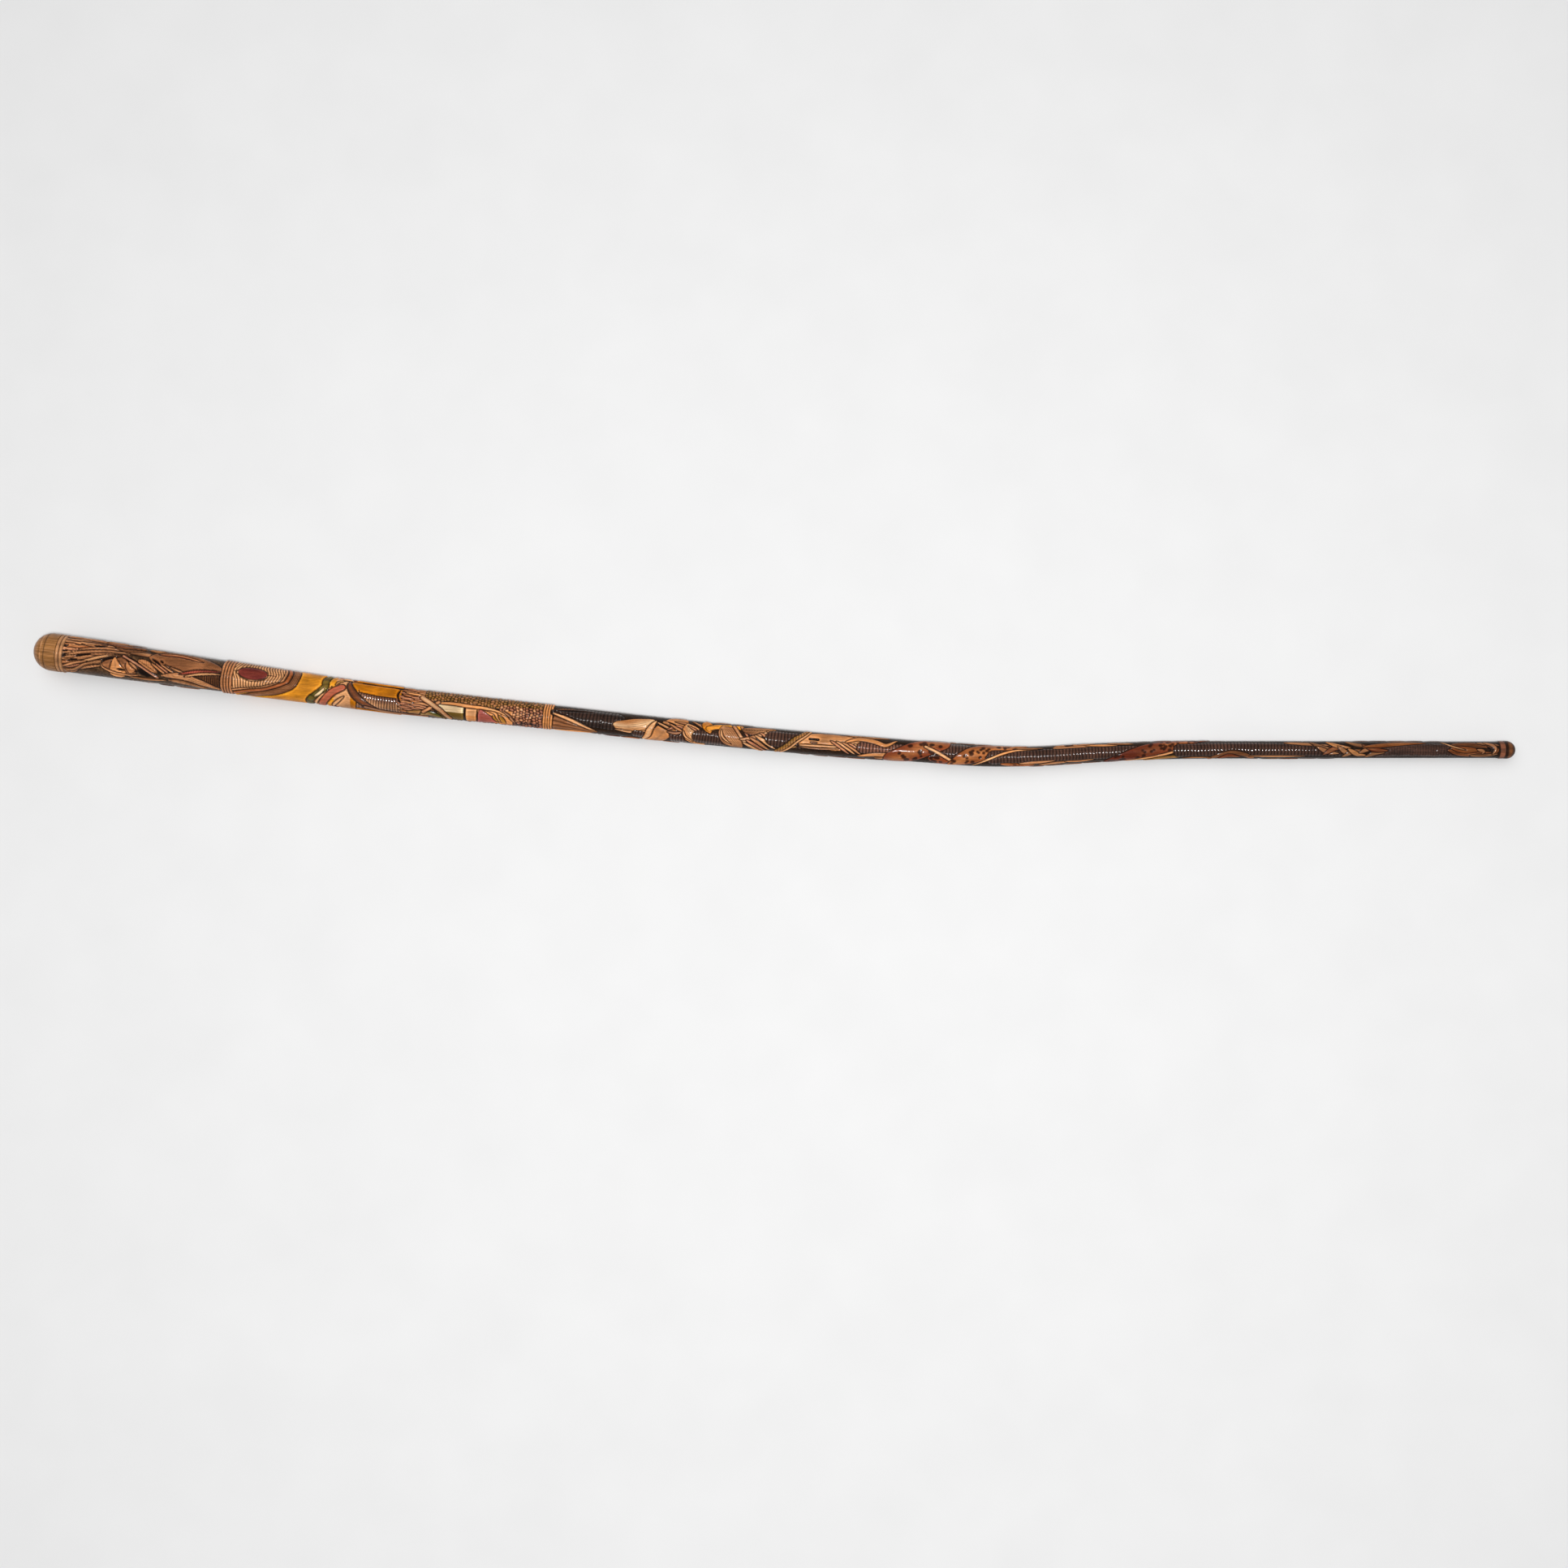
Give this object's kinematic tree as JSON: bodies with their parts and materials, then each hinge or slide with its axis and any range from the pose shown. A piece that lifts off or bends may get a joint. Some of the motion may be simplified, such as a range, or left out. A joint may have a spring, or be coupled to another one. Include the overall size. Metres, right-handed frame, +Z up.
{
  "type": "carved walking stick",
  "caption": "Slim carved wooden stick with a gentle bow and a kink, a turned domed cap on its thick head and a smaller domed cap on its foot.",
  "frame": {"origin": "under the middle of the stick's box, on the surface that it lies on", "axes": "+X along the stick towards its foot, +Y across it in the plane that it lies in, away from the outside of the bend, +Z up"},
  "size_m": [0.905, 0.0818, 0.023],
  "materials": {
    "carved_wood": "carved, stained dark in the ground, varnished gloss",
    "turned_wood": "turned, varnished satin",
    "pale_wood": "turned beads, varnished",
    "dark_wood": "turned, dark stained, varnished",
    "dowel_wood": "bare birch dowel"
  },
  "bodies": {
    "root": {"shaft": "carved_wood", "head_cap": "turned_wood", "head_collar": "pale_wood", "head_dowel": "dowel_wood", "foot_cap": "dark_wood", "foot_ring": "pale_wood", "foot_dowel": "dowel_wood"}
  },
  "joints": []
}
